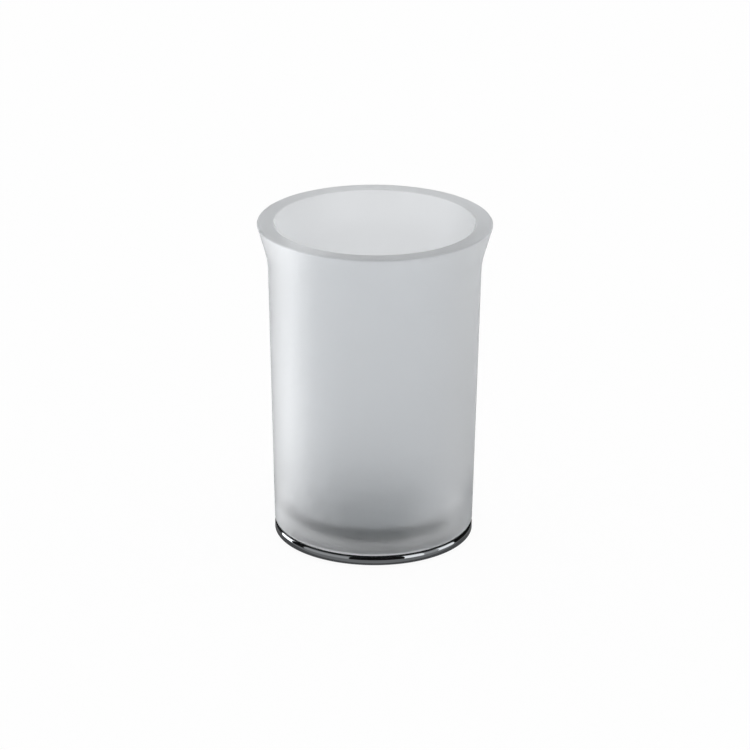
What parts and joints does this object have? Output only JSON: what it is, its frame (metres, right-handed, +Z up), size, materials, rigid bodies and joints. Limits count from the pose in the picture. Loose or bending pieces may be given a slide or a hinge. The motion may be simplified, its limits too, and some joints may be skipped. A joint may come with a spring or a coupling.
{
  "type": "bathroom tumbler",
  "caption": "Round satin-frosted glass tumbler with a thick wall and a flared flat rim, bonded to a flush polished metal base plate; holds water or toothbrushes.",
  "frame": {"origin": "centre of the face that the tumbler stands on, the underside of the pad", "axes": "+Z up along the axis of the tumbler, out of its mouth; it is round, so X and Y are free"},
  "size_m": [0.08, 0.08, 0.113],
  "materials": {
    "satin_glass": "moulded glass, acid-etched to an even satin on every side",
    "clear_bond": "clear acrylic adhesive, cured",
    "chrome_plate": "turned brass, polished and chrome plated",
    "rubber_pad": "fine-grained grey-white rubber"
  },
  "bodies": {
    "root": {"glass_tumbler": "satin_glass", "bond_disc": "clear_bond", "base_plate": "chrome_plate", "non_slip_pad": "rubber_pad"}
  },
  "joints": []
}
